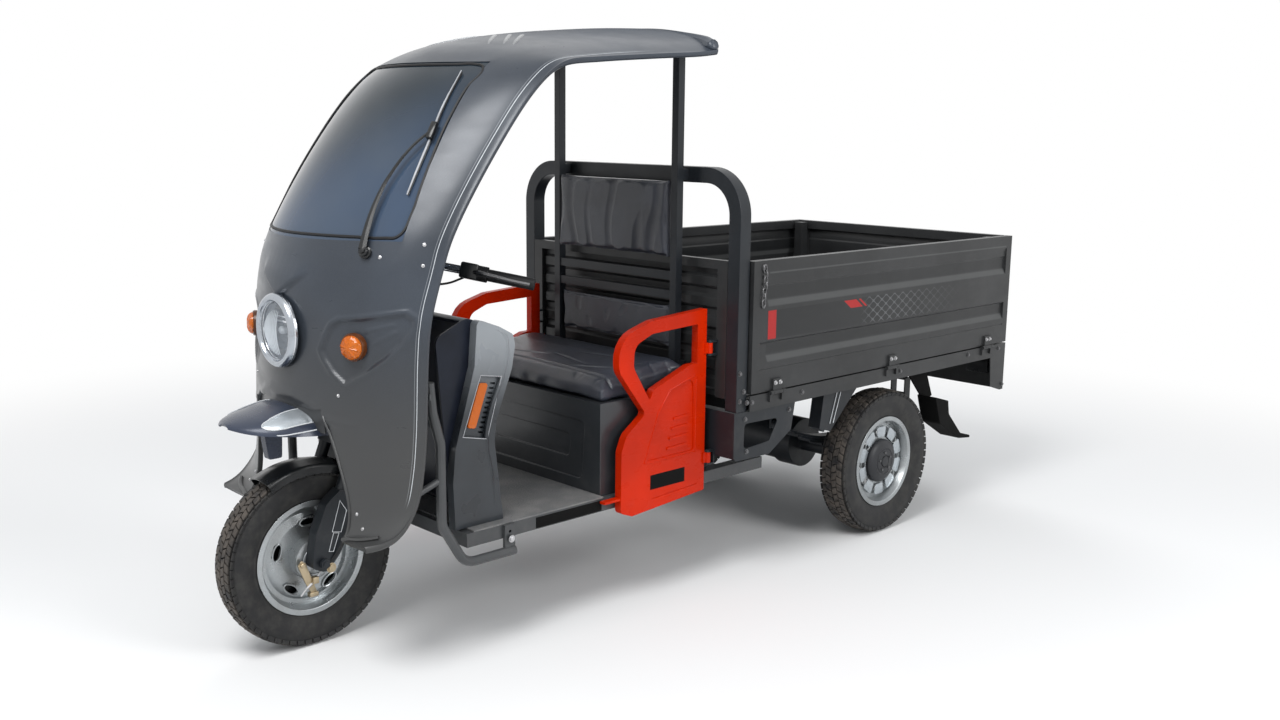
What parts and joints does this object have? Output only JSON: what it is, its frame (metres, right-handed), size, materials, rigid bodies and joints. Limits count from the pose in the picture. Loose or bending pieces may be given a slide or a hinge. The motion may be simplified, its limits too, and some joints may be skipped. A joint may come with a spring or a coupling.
{
  "type": "electric cargo tricycle",
  "caption": "Cargo tricycle with a moulded cab shell and windscreen, bench seat, swinging side guards and a drop-side bed over a driven rear axle.",
  "frame": {"origin": "on the ground, half way along the vehicle and on its centre line", "axes": "front towards -Y, the vehicle's left towards +X, up +Z"},
  "size_m": [1.116, 3.123, 1.79],
  "materials": {
    "shell_paint": "glossy dark metallic grey",
    "guard_paint": "satin orange red",
    "frame_paint": "satin dark grey",
    "bed_paint": "satin dark olive grey",
    "console_plastic": "fine grain",
    "trim_plastic": "silver grey",
    "black_plastic": "black",
    "vinyl": "dark seat vinyl",
    "windscreen_glass": "clear, lightly tinted",
    "lens": "fluted clear lens",
    "chrome_trim": "polished",
    "amber_lens": "amber",
    "red_lens": "red",
    "rubber": "black",
    "tyre": "black tread",
    "wheel_paint": "silver",
    "floor_mat": "grey-brown mat",
    "battery_case": "moulded"
  },
  "bodies": {
    "chassis": {"chassis_frame": "frame_paint", "floor_board": "floor_mat", "cab_shell": "shell_paint", "windscreen": "windscreen_glass", "wiper": "black_plastic", "headlamp": "chrome_trim", "headlamp_lens": "lens", "turn_signals": "amber_lens", "beak_fender": "shell_paint", "leg_guards": "frame_paint", "console": "console_plastic", "console_trims": "trim_plastic", "side_reflectors": "amber_lens", "seat_box": "frame_paint", "battery_pack": "battery_case", "seat_cushion": "vinyl", "hoop": "frame_paint", "roof_posts": "frame_paint", "backrest_cushion": "vinyl", "lumbar_pad": "vinyl", "bed_floor": "bed_paint", "bed_frame": "bed_paint", "bed_front_wall": "bed_paint", "side_brackets": "frame_paint", "rear_axle": "frame_paint", "drive_motor": "frame_paint", "leaf_springs": "frame_paint", "splash_plates": "frame_paint", "mudflaps": "rubber", "tail_lamps": "red_lens", "brake_pedal": "frame_paint"},
    "steering": {"fork": "frame_paint", "handlebar": "chrome_trim", "grips": "rubber", "front_mudguard": "black_plastic"},
    "front_wheel": {"front_tyre": "tyre", "front_rim": "wheel_paint"},
    "rear_wheel_left": {"rear_tyre_left": "tyre", "rear_rim_left": "wheel_paint"},
    "rear_wheel_right": {"rear_tyre_right": "tyre", "rear_rim_right": "wheel_paint"},
    "left_guard": {"left_guard": "guard_paint"},
    "right_guard": {"right_guard": "guard_paint"},
    "left_gate": {"left_gate": "bed_paint"},
    "right_gate": {"right_gate": "bed_paint"},
    "tailgate": {"tailgate": "bed_paint"}
  },
  "joints": [
    {"name": "steering_turn", "type": "hinge", "parent": "chassis", "child": "steering", "pos_m": [0, -1.2615, 0.2575], "axis": [0, 0.3746, 0.9272], "range_deg": [-40, 40]},
    {"name": "front_wheel_spin", "type": "hinge", "parent": "steering", "child": "front_wheel", "pos_m": [0, -1.2965, 0.2575], "axis": [1, 0, 0], "continuous": true},
    {"name": "rear_wheel_left_spin", "type": "hinge", "parent": "chassis", "child": "rear_wheel_left", "pos_m": [0.483, 0.7705, 0.265], "axis": [1, 0, 0], "continuous": true},
    {"name": "rear_wheel_right_spin", "type": "hinge", "parent": "chassis", "child": "rear_wheel_right", "pos_m": [-0.483, 0.7705, 0.265], "axis": [1, 0, 0], "continuous": true},
    {"name": "left_guard_swing", "type": "hinge", "parent": "chassis", "child": "left_guard", "pos_m": [0.437, -0.091, 0.6], "axis": [0, 0, 1], "range_deg": [0, 90]},
    {"name": "right_guard_swing", "type": "hinge", "parent": "chassis", "child": "right_guard", "pos_m": [-0.437, -0.091, 0.6], "axis": [0, 0, -1], "range_deg": [0, 90]},
    {"name": "left_gate_drop", "type": "hinge", "parent": "chassis", "child": "left_gate", "pos_m": [0.551, 0.77, 0.624], "axis": [0, 1, 0], "range_deg": [0, 180]},
    {"name": "right_gate_drop", "type": "hinge", "parent": "chassis", "child": "right_gate", "pos_m": [-0.551, 0.77, 0.624], "axis": [0, -1, 0], "range_deg": [0, 180]},
    {"name": "tailgate_drop", "type": "hinge", "parent": "chassis", "child": "tailgate", "pos_m": [0, 1.562, 0.624], "axis": [-1, 0, 0], "range_deg": [0, 180]}
  ]
}
